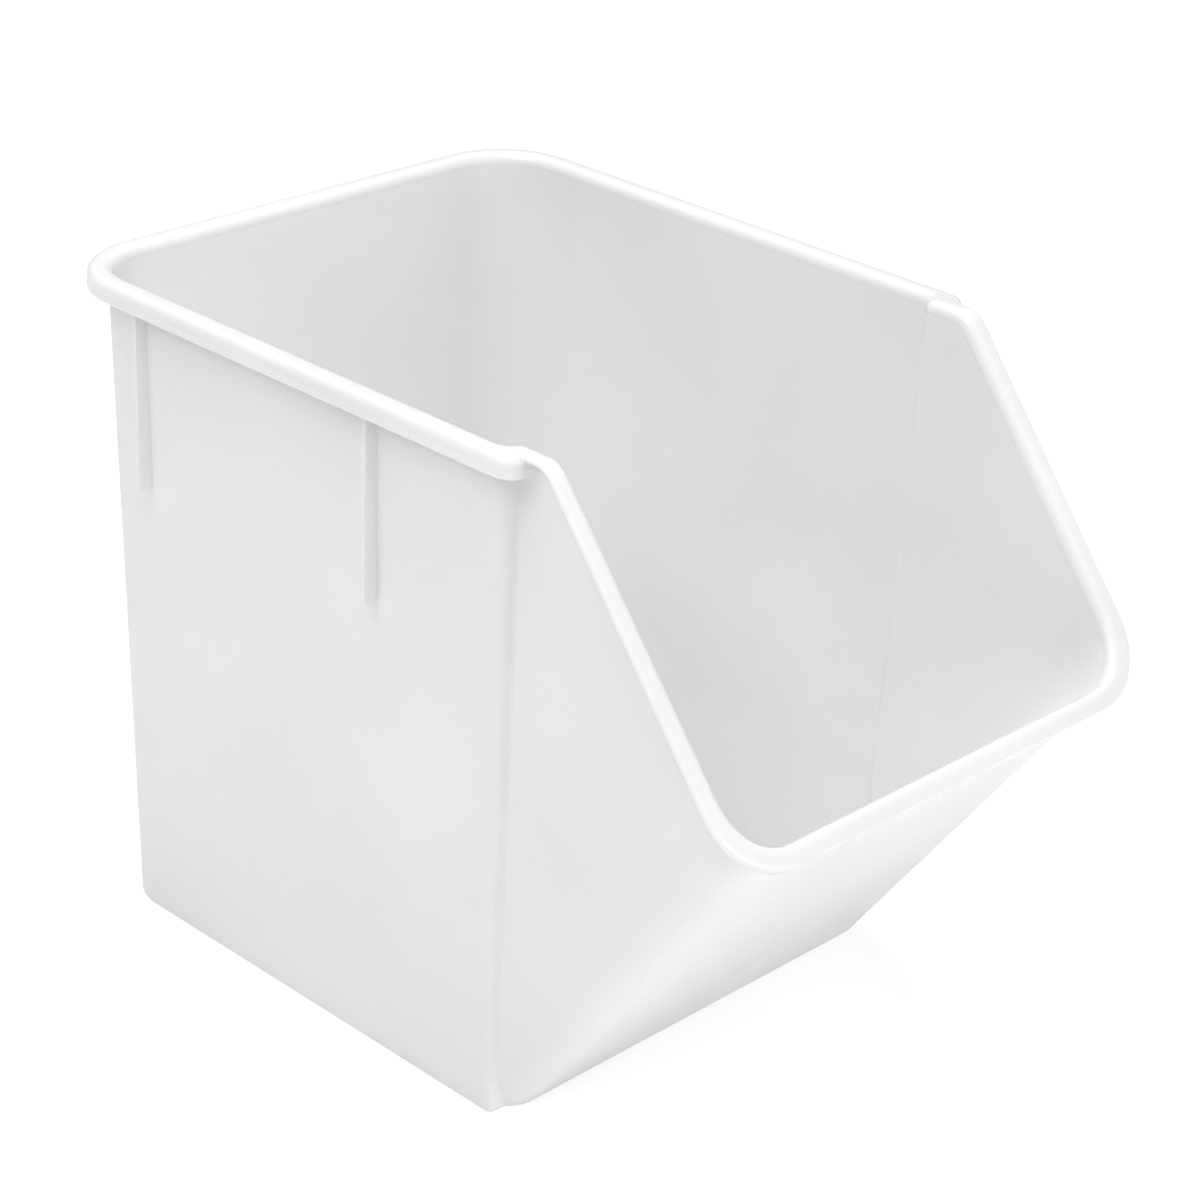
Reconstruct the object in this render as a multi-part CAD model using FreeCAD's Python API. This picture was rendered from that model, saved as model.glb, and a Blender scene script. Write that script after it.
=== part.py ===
import FreeCAD, Part
import math
import os

# A free-standing ingredient bin, moulded in one piece in white plastic: a drafted
# box with a narrower hopper in front of it, open along a slope that runs down to a
# front lip. Millimetres, X across, front toward -Y, Z up, origin under the middle.

# Overall size: level rim above the base, over the side rims, and from front to rear
# the hopper ahead of the box and the box with its rear rim
HEIGHT = 400.0
RIM_WIDTH = 353.0
BOX_DEPTH = 358.5
HOPPER_DEPTH = 166.5

# Walls, floor and the round along the base
WALL = 3.0
FLOOR = 3.2
BOTTOM_EDGE_RADIUS = 2.5

# Box: how its walls lean, and its upright corners
SIDE_DRAFT = 1.25
FRONT_DRAFT = 1.5
REAR_CORNER_RADIUS = 38.0
FRONT_CORNER_RADIUS = 10.0

# Step between the box and the narrower hopper, at the top and at its foot
STEP_WIDTH = 8.4
STEP_FOOT_WIDTH = 3.16
STEP_HOLLOW_RADIUS = 3.5

# Hopper: foot of the front panel ahead of the box, crease between it and the cheeks
PANEL_FOOT_AHEAD = 6.0
CREASE_RADIUS = 35.0

# Mouth: level over the box, then sloping from the bend down to the lip
LIP_HEIGHT = 224.0
MOUTH_BEND_AHEAD = 26.0
MOUTH_BEND_RADIUS = 16.0

# Rim of the box: a flange turned down into a skirt
RIM_OVERHANG = 11.6
RIM_SKIRT = 12.0
RIM_CORNER_RADIUS = 11.0
RIM_EDGE_RADIUS = 4.0

# Rim of the hopper: a plain flange in the plane of the slope
FLANGE_REACH = 10.0
FLANGE_CORNER_RADIUS = 42.0
FLANGE_EDGE_RADIUS = 1.5

# Bell mouth inside both rims, and the hollow round under them
FLARE_RADIUS = 6.0
UNDER_RIM_RADIUS = 3.0

# Nesting ribs under the side rims, from the rim down
RIB_THICKNESS = 3.0
RIB_LENGTH = 120.0
RIB_SETBACK = 4.5
FRONT_RIB_INSET = 100.0
REAR_RIB_INSET = 69.5

# Where the rear rim, the box's front, the side walls, the cheeks and the slope lie
REAR_Y = (BOX_DEPTH + HOPPER_DEPTH) / 2
BOX_FRONT_Y = REAR_Y - BOX_DEPTH
BOX_HALF_WIDTH = RIM_WIDTH / 2 - RIM_OVERHANG
CHEEK_HALF_WIDTH = BOX_HALF_WIDTH - STEP_WIDTH
MOUTH_CORNER_Y = BOX_FRONT_Y - MOUTH_BEND_AHEAD

# Room beyond the part for its cutting forms, distance that counts as touching, and
# the sine of the smallest turn that counts as a corner
CLEAR = 60.0
TOUCH = 0.01
SMOOTH_TURN = 0.1
Z_AXIS = FreeCAD.Vector(0, 0, 1)


def vec(x, y, z):
    return FreeCAD.Vector(x, y, z)


def line(a, b):
    return Part.LineSegment(a, b).toShape()


def tan(angle):
    return math.tan(math.radians(angle))


def midpoint(edge):
    return edge.valueAt((edge.FirstParameter + edge.LastParameter) / 2)


def is_same_place(one, other):
    """True for two edges with one midpoint."""
    return (midpoint(one) - midpoint(other)).Length < TOUCH


def is_rising(edge):
    """True for an edge that isn't level."""
    return abs(edge.Vertexes[0].Z - edge.Vertexes[1].Z) > TOUCH


def mouth_slope():
    """Angle of the mouth's slope below level, in radians."""
    return math.atan2(HEIGHT - LIP_HEIGHT, HOPPER_DEPTH - MOUTH_BEND_AHEAD)


def lip_point():
    """Outer edge of the lip on the mouth's slope, where its rounded edge ends the depth."""
    slope = mouth_slope()
    rounding = FLANGE_EDGE_RADIUS * (math.sin(slope) + math.cos(slope) - 1)
    y = -REAR_Y - rounding
    return vec(0, y, HEIGHT - (MOUTH_CORNER_Y - y) * math.tan(slope))


def front_panel():
    """Foot of the front panel and its lean out, in radians: it meets the slope by the lip."""
    slope = mouth_slope()
    foot_y = BOX_FRONT_Y + HEIGHT * tan(FRONT_DRAFT) - PANEL_FOOT_AHEAD
    top = lip_point() + vec(0, math.cos(slope), math.sin(slope)) * FLANGE_REACH
    return foot_y, math.atan2(foot_y - top.y, top.z)


def cheek_draw():
    """How much a cheek draws in for its height: the step is narrower at its foot."""
    return tan(SIDE_DRAFT) - (STEP_WIDTH - STEP_FOOT_WIDTH) / HEIGHT


def rounded_outline(half_x, y_front, y_rear, r_front, r_rear, z):
    """Closed wire of a rectangle with its front and rear corners rounded."""
    corners = (
        (half_x, y_rear, r_rear),
        (-half_x, y_rear, r_rear),
        (-half_x, y_front, r_front),
        (half_x, y_front, r_front),
    )
    edges = []
    ends = []
    for i, (x, y, r) in enumerate(corners):
        sx = math.copysign(1, x)
        sy = 1 if i < 2 else -1
        centre = vec(x - sx * r, y - sy * r, z)
        on_side = centre + vec(sx * r, 0, 0)
        on_end = centre + vec(0, sy * r, 0)
        middle = centre + vec(sx * r, sy * r, 0) * math.sqrt(0.5)
        first, last = (on_side, on_end) if i in (0, 2) else (on_end, on_side)
        ends.append((first, middle, last))
    for i, (first, middle, last) in enumerate(ends):
        edges.append(Part.Arc(first, middle, last).toShape())
        following = ends[(i + 1) % 4][0]
        edges.append(Part.LineSegment(last, following).toShape())
    return Part.Wire(edges)


def frustum(low, high):
    """Solid with flat faces between two four-cornered outlines, one above the other."""
    faces = [Part.Face(Part.makePolygon(ring + ring[:1])) for ring in (low[::-1], high)]
    for i in range(len(low)):
        j = (i + 1) % len(low)
        side = [low[i], low[j], high[j], high[i]]
        faces.append(Part.Face(Part.makePolygon(side + side[:1])))
    shell = Part.Shell(faces)
    shell.sewShape()
    return Part.Solid(shell)


def four_corners(half_x, y_front, y_rear, z):
    """Corners of a level rectangle: rear right, rear left, front left, front right."""
    rear = [vec(half_x, y_rear, z), vec(-half_x, y_rear, z)]
    return rear + [vec(-half_x, y_front, z), vec(half_x, y_front, z)]


def box_corners(z, inset):
    """Corners of the drafted box at one height, drawn in by the inset."""
    down = HEIGHT - z
    half_x = BOX_HALF_WIDTH - down * tan(SIDE_DRAFT) - inset
    y_rear = REAR_Y - RIM_OVERHANG - down * tan(SIDE_DRAFT) - inset
    y_front = BOX_FRONT_Y + down * tan(FRONT_DRAFT) + inset
    return four_corners(half_x, y_front, y_rear, z)


def box_solid(inset, z_low, z_high):
    """The drafted box between two heights, its four upright edges rounded."""
    box = frustum(box_corners(z_low, inset), box_corners(z_high, inset))
    upright = [e for e in box.Edges if is_rising(e)]
    middle_y = box.BoundBox.Center.y
    front = [e for e in upright if midpoint(e).y < middle_y]
    rear = [e for e in upright if midpoint(e).y > middle_y]
    box = box.makeFillet(REAR_CORNER_RADIUS - inset, rear)
    front = [e for e in box.Edges if any(is_same_place(e, f) for f in front)]
    return box.makeFillet(FRONT_CORNER_RADIUS - inset, front)


def hopper_corners(z, inset):
    """Corners of the hopper at one height; its back lies inside the box."""
    half_x = CHEEK_HALF_WIDTH - (HEIGHT - z) * cheek_draw() - inset
    foot_y, lean = front_panel()
    y_front = foot_y - z * math.tan(lean) + inset / math.cos(lean)
    return four_corners(half_x, y_front, BOX_FRONT_Y + CLEAR, z)


def hopper_solid(inset, z_low, z_high):
    """The hopper wedge, with the creases between its front panel and cheeks rounded."""
    wedge = frustum(hopper_corners(z_low, inset), hopper_corners(z_high, inset))
    creases = [e for e in wedge.Edges if is_crease(e)]
    return wedge.makeFillet(CREASE_RADIUS - inset, creases)


def is_crease(edge):
    """True for the two leaning edges between the front panel and a cheek."""
    return is_rising(edge) and abs(edge.Vertexes[0].Y - edge.Vertexes[1].Y) > TOUCH


def mouth_line(drop):
    """Side view of the mouth, as points and a bend, set down square to itself by drop.

    Returns the far rear point, the three points of the bend's arc and the lip point."""
    slope = mouth_slope()
    half = slope / 2
    lip = lip_point() + vec(0, math.sin(slope), -math.cos(slope)) * drop
    level = HEIGHT - drop
    corner_y = lip.y + (level - lip.z) / math.tan(slope)
    radius = MOUTH_BEND_RADIUS - drop
    reach = radius * math.tan(half)
    start = vec(0, corner_y + reach, level)
    end = vec(0, corner_y - reach * math.cos(slope), level - reach * math.sin(slope))
    middle = vec(0, start.y - radius * math.sin(half), level - radius * (1 - math.cos(half)))
    return vec(0, REAR_Y + CLEAR, level), start, middle, end, lip


def prism(edges, half_x):
    """Closes edges drawn in the YZ plane into a face and draws it out to both sides."""
    face = Part.Face(Part.Wire(edges))
    face.translate(vec(-half_x, 0, 0))
    return face.extrude(vec(2 * half_x, 0, 0))


def below_mouth():
    """Everything that lies under the mouth line."""
    rear, start, middle, end, lip = mouth_line(0)
    slope = mouth_slope()
    far = lip - vec(0, math.cos(slope), math.sin(slope)) * CLEAR
    low_front = vec(0, far.y, -CLEAR)
    low_rear = vec(0, rear.y, -CLEAR)
    edges = [line(rear, start), Part.Arc(start, middle, end).toShape(), line(end, far)]
    edges += [line(far, low_front), line(low_front, low_rear), line(low_rear, rear)]
    return prism(edges, RIM_WIDTH)


def is_corner(shape, edge):
    """True where the two faces at an edge meet at an angle."""
    point = midpoint(edge)
    normals = []
    for face in shape.ancestorsOfType(edge, Part.Face):
        normals.append(face.normalAt(*face.Surface.parameter(point)))
    return len(normals) == 2 and normals[0].cross(normals[1]).Length > SMOOTH_TURN


def is_seam(edge, one, other):
    """True for an edge that lies on both of two solids that were fused."""
    point = midpoint(edge)
    return one.isInside(point, TOUCH, True) and other.isInside(point, TOUCH, True)


def fuse_rounded(one, other, radius):
    """Fuses two solids and rounds the inward corner where they meet."""
    fused = one.fuse(other).removeSplitter()
    corners = [e for e in fused.Edges if is_corner(fused, e)]
    return fused.makeFillet(radius, [e for e in corners if is_seam(e, one, other)])


def form(inset, z_low, z_high):
    """Box and hopper as one solid, drawn in by the inset, with its bottom edge rounded."""
    box = box_solid(inset, z_low, z_high)
    hopper = hopper_solid(inset, z_low, z_high)
    joined = fuse_rounded(box, hopper, STEP_HOLLOW_RADIUS + inset)
    bottom = [e for e in joined.Edges if e.BoundBox.ZMax < z_low + TOUCH]
    return joined.makeFillet(BOTTOM_EDGE_RADIUS + inset / 2, bottom)


def hopper_flange():
    """Flange that follows the mouth line from the box down to the lip, before it is opened."""
    top = mouth_line(0)
    under = mouth_line(WALL)
    top_back = vec(0, BOX_FRONT_Y, HEIGHT)
    under_back = vec(0, BOX_FRONT_Y, HEIGHT - WALL)
    edges = [line(top_back, top[1]), Part.Arc(top[1], top[2], top[3]).toShape()]
    edges += [line(top[3], top[4]), line(top[4], under[4]), line(under[4], under[3])]
    edges += [Part.Arc(under[3], under[2], under[1]).toShape()]
    edges += [line(under[1], under_back), line(under_back, top_back)]
    band = prism(edges, CHEEK_HALF_WIDTH + FLANGE_REACH)
    band = band.makeFillet(FLANGE_CORNER_RADIUS, [e for e in band.Edges if is_lip_corner(e)])
    rim = [e for e in band.Edges if is_flange_top(e)]
    return band.makeFillet(FLANGE_EDGE_RADIUS, rim)


def is_lip_corner(edge):
    """True for the short edges of the flange at the two ends of the lip."""
    a, b = (v.Point for v in edge.Vertexes)
    short = abs((a - b).Length - WALL) < TOUCH
    return short and abs(a.x - b.x) < TOUCH and a.y < MOUTH_CORNER_Y


def is_flange_top(edge):
    """True for the flange's outer edges that lie on the mouth line."""
    point = midpoint(edge)
    if point.y > BOX_FRONT_Y - TOUCH:
        return False
    return not below_mouth().isInside(point + Z_AXIS * TOUCH, TOUCH / 2, True)


def rim_outline(inset):
    """Outline of the box's rim, drawn in by the inset, at the foot of the skirt."""
    y_front = BOX_FRONT_Y - RIM_OVERHANG
    half_x = RIM_WIDTH / 2 - inset
    r_rear = REAR_CORNER_RADIUS + RIM_OVERHANG - inset
    z = HEIGHT - RIM_SKIRT
    r_front = RIM_CORNER_RADIUS - inset
    return rounded_outline(half_x, y_front + inset, REAR_Y - inset, r_front, r_rear, z)


def box_rim():
    """The box's rim: a slab with a rounded top edge, hollow under its overhang."""
    slab = Part.Face(rim_outline(0)).extrude(Z_AXIS * RIM_SKIRT)
    top = [e for e in slab.Edges if e.BoundBox.ZMin > HEIGHT - TOUCH]
    slab = slab.makeFillet(RIM_EDGE_RADIUS, top)
    hollow = Part.Face(rim_outline(WALL)).extrude(Z_AXIS * (RIM_SKIRT - WALL))
    return slab.cut(hollow)


def ribs():
    """Nesting ribs: plates from the side walls out to the skirt, with a plumb outer edge."""
    half_span = RIM_WIDTH / 2 - RIB_SETBACK
    plates = []
    for y in (BOX_FRONT_Y + FRONT_RIB_INSET, REAR_Y - REAR_RIB_INSET):
        plate = Part.makeBox(2 * half_span, RIB_THICKNESS, RIB_LENGTH - WALL / 2)
        plate.translate(vec(-half_span, y - RIB_THICKNESS / 2, HEIGHT - RIB_LENGTH))
        plates.append(plate)
    return plates


def opening_edges(shell, inside):
    """Edges where the inside comes out through the mouth."""
    ceiling = below_mouth()
    edges = []
    for edge in shell.Edges:
        point = midpoint(edge)
        under = ceiling.isInside(point + Z_AXIS * WALL, TOUCH, True)
        if not under and inside.isInside(point, TOUCH, True) and is_corner(shell, edge):
            edges.append(edge)
    return edges


def bin_body():
    """The whole bin: walls and rims, hollowed by the inside, with a rounded mouth."""
    walls = form(0, 0, HEIGHT + CLEAR).common(below_mouth())
    rims = box_rim().fuse(hopper_flange())
    shell = fuse_rounded(rims, walls, UNDER_RIM_RADIUS).fuse(ribs())
    inside = form(WALL, FLOOR, HEIGHT + CLEAR)
    shell = shell.cut(inside).removeSplitter()
    return shell.makeFillet(FLARE_RADIUS, opening_edges(shell, inside))


def write(shape, name):
    shape.exportStep(os.path.join("parts", name + ".step"))


os.makedirs("parts", exist_ok=True)
body = bin_body()
print("solids", len(body.Solids), "valid", body.isValid(), "litres", body.Volume / 1e6)
write(body, "bin")
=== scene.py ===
import bmesh
import bpy
import numpy as np
from bpy.props import FloatProperty, FloatVectorProperty, IntProperty, PointerProperty
from bpy.types import Operator, Panel, PropertyGroup
from mathutils import Matrix, Vector


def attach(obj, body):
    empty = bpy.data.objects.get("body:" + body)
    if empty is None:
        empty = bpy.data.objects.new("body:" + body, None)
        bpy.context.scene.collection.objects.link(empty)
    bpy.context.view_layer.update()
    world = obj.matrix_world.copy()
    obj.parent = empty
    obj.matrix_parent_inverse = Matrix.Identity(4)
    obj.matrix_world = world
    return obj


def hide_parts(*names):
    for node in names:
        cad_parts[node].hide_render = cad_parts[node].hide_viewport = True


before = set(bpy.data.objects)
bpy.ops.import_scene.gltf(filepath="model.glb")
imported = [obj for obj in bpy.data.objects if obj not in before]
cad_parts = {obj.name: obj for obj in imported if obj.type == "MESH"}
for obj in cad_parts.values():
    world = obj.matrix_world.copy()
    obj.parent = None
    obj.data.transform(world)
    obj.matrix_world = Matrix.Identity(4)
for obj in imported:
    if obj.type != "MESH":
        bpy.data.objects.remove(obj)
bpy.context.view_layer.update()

bl_info = {
    "name": "Ingredient Bin",
    "version": (1, 0, 0),
    "blender": (4, 5, 0),
    "location": "3D View > Sidebar > Bin",
    "description": "Builds a moulded slope-front ingredient bin, its plastic and its stage",
    "category": "Add Mesh",
}

QUARTER = np.pi / 2
WELD = 2e-6  # points nearer than this become one
EDGE = 0.0006  # small rounds on the rim's lower edges
RIB_END = 0.0004  # small bevel on the ends of a rib
CENTRE_Y = 0.08  # middle of the bin's floor
SHARP = np.radians(32)  # edges that turn by more are shaded sharp


def length(name, description, default):
    """A distance in metres."""
    return FloatProperty(name=name, description=description, default=default, unit="LENGTH", precision=4)


def angle(name, description, degrees):
    """An angle, given here in degrees and kept in radians."""
    return FloatProperty(name=name, description=description, default=np.radians(degrees), subtype="ANGLE")


def number(name, description, default, high=1):
    """A plain number from 0 to high."""
    return FloatProperty(name=name, description=description, default=default, min=0, max=high)


def count(name, description, default):
    """A number of mesh steps."""
    return IntProperty(name=name, description=description, default=default, min=1, max=400)


class BinShape(PropertyGroup):
    """Sizes of the bin, in metres, in the frame of the part."""

    height: length("Height", "Base to the level rim", 0.4)
    rim_width: length("Rim width", "Over the two side rims", 0.353)
    box_depth: length("Box depth", "Rear rim to the step face at the top", 0.3585)
    hopper_depth: length("Hopper depth", "Step face at the top to the lip", 0.1665)
    wall: length("Wall", "Thickness of the walls and rims", 0.003)
    floor: length("Floor", "Thickness of the floor", 0.0032)
    bottom_round: length("Bottom round", "Round along the base edge", 0.001)
    side_draft: angle("Side draft", "Lean of the side and rear walls", 1.25)
    front_draft: angle("Front draft", "Lean of the step face", 1.5)
    rear_corner: length("Rear corner", "Plan radius of the rear corners at the top", 0.040)
    rear_foot: length("Rear foot", "Plan radius of the rear corners at the base", 0.034)
    step_round: length("Step round", "Convex radius of the step at the top", 0.011)
    step_foot_round: length("Step foot round", "Convex radius of the step at the base", 0.0038)
    step_width: length("Step width", "How far the cheek stands in from the side", 0.0084)
    step_hollow: length("Step hollow", "Concave radius of the step", 0.0035)
    step_foot: length("Step foot", "How far the cheek stands in at the base", 0.00316)
    foot_ahead: length("Foot ahead", "Front panel's foot ahead of the step face", 0.006)
    crease: length("Crease", "Radius between cheek and front panel at the base", 0.022)
    crease_growth: length("Crease growth", "How much that radius grows up to the level rim", 0.0205)
    lip_height: length("Lip height", "Top of the front lip", 0.224)
    bend_ahead: length("Bend ahead", "Start of the mouth's slope ahead of the box", 0.026)
    mouth_bend: length("Mouth bend", "Radius between level and sloping rim", 0.016)
    rim_overhang: length("Rim overhang", "Box rim beyond the wall", 0.0116)
    rim_skirt: length("Rim skirt", "Depth of the turned-down rim", 0.012)
    rim_corner: length("Rim corner", "Plan radius of the rim at the step", 0.011)
    rim_round: length("Rim round", "Round on the box rim's top edge", 0.0055)
    flange_reach: length("Flange reach", "Hopper rim beyond the walls", 0.010)
    lip_edge: length("Lip edge", "Height of the hopper rim's edge along the lip", 0.0061)
    flange_corner: length("Flange corner", "Radius of the hopper rim beside the lip", 0.042)
    flange_round: length("Flange round", "Round on the hopper rim's edge", 0.0025)
    flare: length("Flare", "Bell-mouth radius inside the rim", 0.006)
    under_round: length("Under round", "Hollow round under the rim", 0.003)
    rib_thickness: length("Rib thickness", "Thickness of the nesting ribs", 0.003)
    rib_length: length("Rib length", "Depth of the ribs under the rim", 0.120)
    rib_setback: length("Rib setback", "Ribs inside the rim's outer face", 0.0045)
    rib_edge: length("Rib edge", "Round on the ribs' outer edges", 0.0005)
    front_rib: length("Front rib", "Front pair of ribs behind the step face", 0.100)
    rear_rib: length("Rear rib", "Rear pair of ribs inside the rear rim", 0.0695)
    cheek_steps: count("Cheek steps", "Mesh steps along a cheek", 46)
    arc_steps: count("Arc steps", "Mesh steps round a large corner", 18)
    small_steps: count("Small steps", "Mesh steps round a small corner", 8)
    line_steps: count("Line steps", "Mesh steps along a straight wall", 22)


class Form:
    """The sizes of a BinShape and what follows from them.

    The slope runs from the level rim ahead of the box to the lip, so its angle is
    m = atan((height - lip) / (hopper - bend ahead)), and the front panel leans from its foot
    to where the slope passes it, one flange's reach inside the lip."""

    def __init__(self, shape):
        for name in BinShape.__annotations__:
            setattr(self, name, getattr(shape, name))
        self.depth = self.box_depth + self.hopper_depth
        self.rear = self.depth / 2
        self.box_front = self.rear - self.box_depth
        self.box_half = self.rim_width / 2 - self.rim_overhang
        self.cheek_half = self.box_half - self.step_width
        self.cheek_draw = np.tan(self.side_draft) - (self.step_width - self.step_foot) / self.height
        self.mouth_angle = np.arctan2(self.height - self.lip_height, self.hopper_depth - self.bend_ahead)
        sin, cos = np.sin(self.mouth_angle), np.cos(self.mouth_angle)
        self.slope = np.tan(self.mouth_angle)
        self.mouth_corner = self.box_front - self.bend_ahead
        lip_y = -self.rear - self.flange_round * (sin + cos - 1)
        self.down = np.array([0.0, -cos, -sin])
        self.slope_up = np.array([0.0, -sin, cos])
        self.lip = np.array([0.0, lip_y, self.height - (self.mouth_corner - lip_y) * self.slope])
        self.panel_foot = self.box_front + self.height * np.tan(self.front_draft) - self.foot_ahead
        top = self.lip - self.down * self.flange_reach
        self.panel_lean = np.arctan2(self.panel_foot - top[1], top[2])
        self.lean = np.tan(self.panel_lean)


def held(n, edge=0.004):
    """n + 1 shares from 0 to 1 with one extra close to each end, to keep flat walls flat."""
    inner = np.linspace(0, 1, n - 1)[1:-1]
    return np.concatenate([[0, edge], inner, [1 - edge, 1]])


class Plan:
    """Level outline of one skin of the bin at the heights z.

    With down = height - z, the box has half width hx = rim/2 - overhang - down tan(draft),
    the cheek stands at x = c and the panel at y = yp = foot - z tan(lean). The inset i draws
    every face in by the wall. Between cheek and panel runs a round that is a circle square
    to the panel, so an ellipse of a = r and b = r / cos(lean) here. The step is a circle R1
    on the box and a hollow circle R2 that touches the box outside and the hopper outside.
    The radii change evenly with height: r(z) = low + (top - low) z / height."""

    def __init__(self, p, z, inset):
        z = np.asarray(z, float)
        down = p.height - z
        drawn = down * np.tan(p.side_draft)
        up = z / p.height
        self.z = z
        self.hx = p.box_half - drawn - inset
        self.yr = p.rear - p.rim_overhang - drawn - inset
        self.yf = p.box_front + down * np.tan(p.front_draft) + inset
        self.rr = p.rear_foot + (p.rear_corner - p.rear_foot) * up - inset
        self.r1 = p.step_foot_round + (p.step_round - p.step_foot_round) * up - inset
        self.r2 = p.step_hollow + inset
        self.c = p.cheek_half - down * p.cheek_draw - inset
        self.a = p.crease + p.crease_growth * up - inset
        self.b = self.a / np.cos(p.panel_lean)
        self.yp = p.panel_foot - z * p.lean + inset / np.cos(p.panel_lean)

    def hopper(self, s):
        """Point and outward normal on the hopper: s < 0 runs back along the cheek, in metres,
        and s from 0 to pi/2 is the angle round the crease."""
        t = np.clip(s, 0, None)
        x = self.c - self.a + self.a * np.cos(t)
        y = self.yp + self.b - self.b * np.sin(t) - np.minimum(s, 0)
        nx, ny = np.cos(t) / self.a, -np.sin(t) / self.b
        size = np.hypot(nx, ny)
        return x, y, nx / size, ny / size

    def from_box(self, x, y):
        """Signed distance of a point from the box's side, corner and front."""
        qx = x - (self.hx - self.r1)
        qy = (self.yf + self.r1) - y
        outside = np.hypot(np.maximum(qx, 0), np.maximum(qy, 0))
        return outside + np.minimum(np.maximum(qx, qy), 0) - self.r1

    def step(self):
        """Where the hollow circle touches: hopper place s, box turn, centre and hopper turn.
        The place is found by halving, on from_box(E(s) + R2 n(s)) = R2."""
        low = np.full(self.z.shape, -0.5)
        high = np.full(self.z.shape, QUARTER)
        for _ in range(60):
            s = (low + high) / 2
            x, y, nx, ny = self.hopper(s)
            gap = self.from_box(x + self.r2 * nx, y + self.r2 * ny) - self.r2
            low = np.where(gap < 0, s, low)
            high = np.where(gap < 0, high, s)
        x, y, nx, ny = self.hopper(s)
        qx, qy = x + self.r2 * nx, y + self.r2 * ny
        across = qx - (self.hx - self.r1)
        turn = np.where(across > 0, np.arctan2(self.yf + self.r1 - qy, across), QUARTER)
        run = self.r1 * turn + np.maximum(-across, 0)
        return s, turn, run, qx, qy, np.arctan2(-ny, nx)

    def box_line(self, shares):
        """Outline from the middle of the rear to the end of the step's hollow, with normals.
        Returns arrays of heights by stations: x, y, normal x, normal y."""
        line, arc, side, corner, hollow = shares
        _, turn, run, qx, qy, end_turn = (v[:, None] for v in self.step())
        hx, yr, yf, rr, r1 = (v[:, None] for v in (self.hx, self.yr, self.yf, self.rr, self.r1))
        parts = []
        one = np.ones_like(hx)
        parts.append((line * (hx - rr), yr * np.ones_like(line), 0 * one * line, one + 0 * line))
        t = QUARTER * (1 - arc)
        parts.append((hx - rr + rr * np.cos(t), yr - rr + rr * np.sin(t), np.cos(t) * one, np.sin(t) * one))
        y0, y1 = yr - rr, yf + r1
        parts.append((hx + 0 * side, y0 + (y1 - y0) * side, one + 0 * side, 0 * one * side))
        along = run * corner
        t = np.minimum(along / r1, QUARTER)
        flat = np.maximum(along - r1 * QUARTER, 0)
        parts.append((hx - r1 + r1 * np.cos(t) - flat, yf + r1 - r1 * np.sin(t), np.cos(t), -np.sin(t)))
        t = turn + (end_turn - turn) * hollow
        parts.append((qx - self.r2 * np.cos(t), qy + self.r2 * np.sin(t), np.cos(t), -np.sin(t)))
        kept = [parts[0]] + [[v[:, 1:] for v in part] for part in parts[1:]]
        return [np.concatenate([part[i] for part in kept], 1) for i in range(4)]


def mouth_frame(p, y):
    """Height and upward normal of the mouth surface over y, and where its bend starts and ends.
    It is level, then an arc of radius r over the angle m, z = height - r (1 - cos t) with
    sin t = (start - y) / r, and then the slope z = height - (corner - y) tan m."""
    m = p.mouth_angle
    corner = p.mouth_corner
    reach = p.mouth_bend * np.tan(m / 2)
    y = np.asarray(y, float)
    start, end = corner + reach, corner - reach * np.cos(m)
    turn = np.clip(np.arcsin(np.clip((start - y) / p.mouth_bend, 0, 1)), 0, m)
    turn = np.where(y <= end, m, turn)
    height = np.where(
        y <= end, p.height - (corner - y) * np.tan(m), p.height - p.mouth_bend * (1 - np.cos(turn))
    )
    normal = np.stack([0 * y, -np.sin(turn), np.cos(turn)], -1)
    return height, normal, start, end


def unit(v):
    """Vectors of length 1."""
    return v / np.linalg.norm(v, axis=-1, keepdims=True)


def rounded(start, corner, end, steps):
    """Points of the round that touches start-corner and corner-end: the quarter circle
    corner + (start - corner)(1 - sin t) + (end - corner)(1 - cos t), stretched to fit."""
    t = np.linspace(0, QUARTER, steps + 1)[:, None, None]
    return corner + (start - corner) * (1 - np.sin(t)) + (end - corner) * (1 - np.cos(t))


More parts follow.
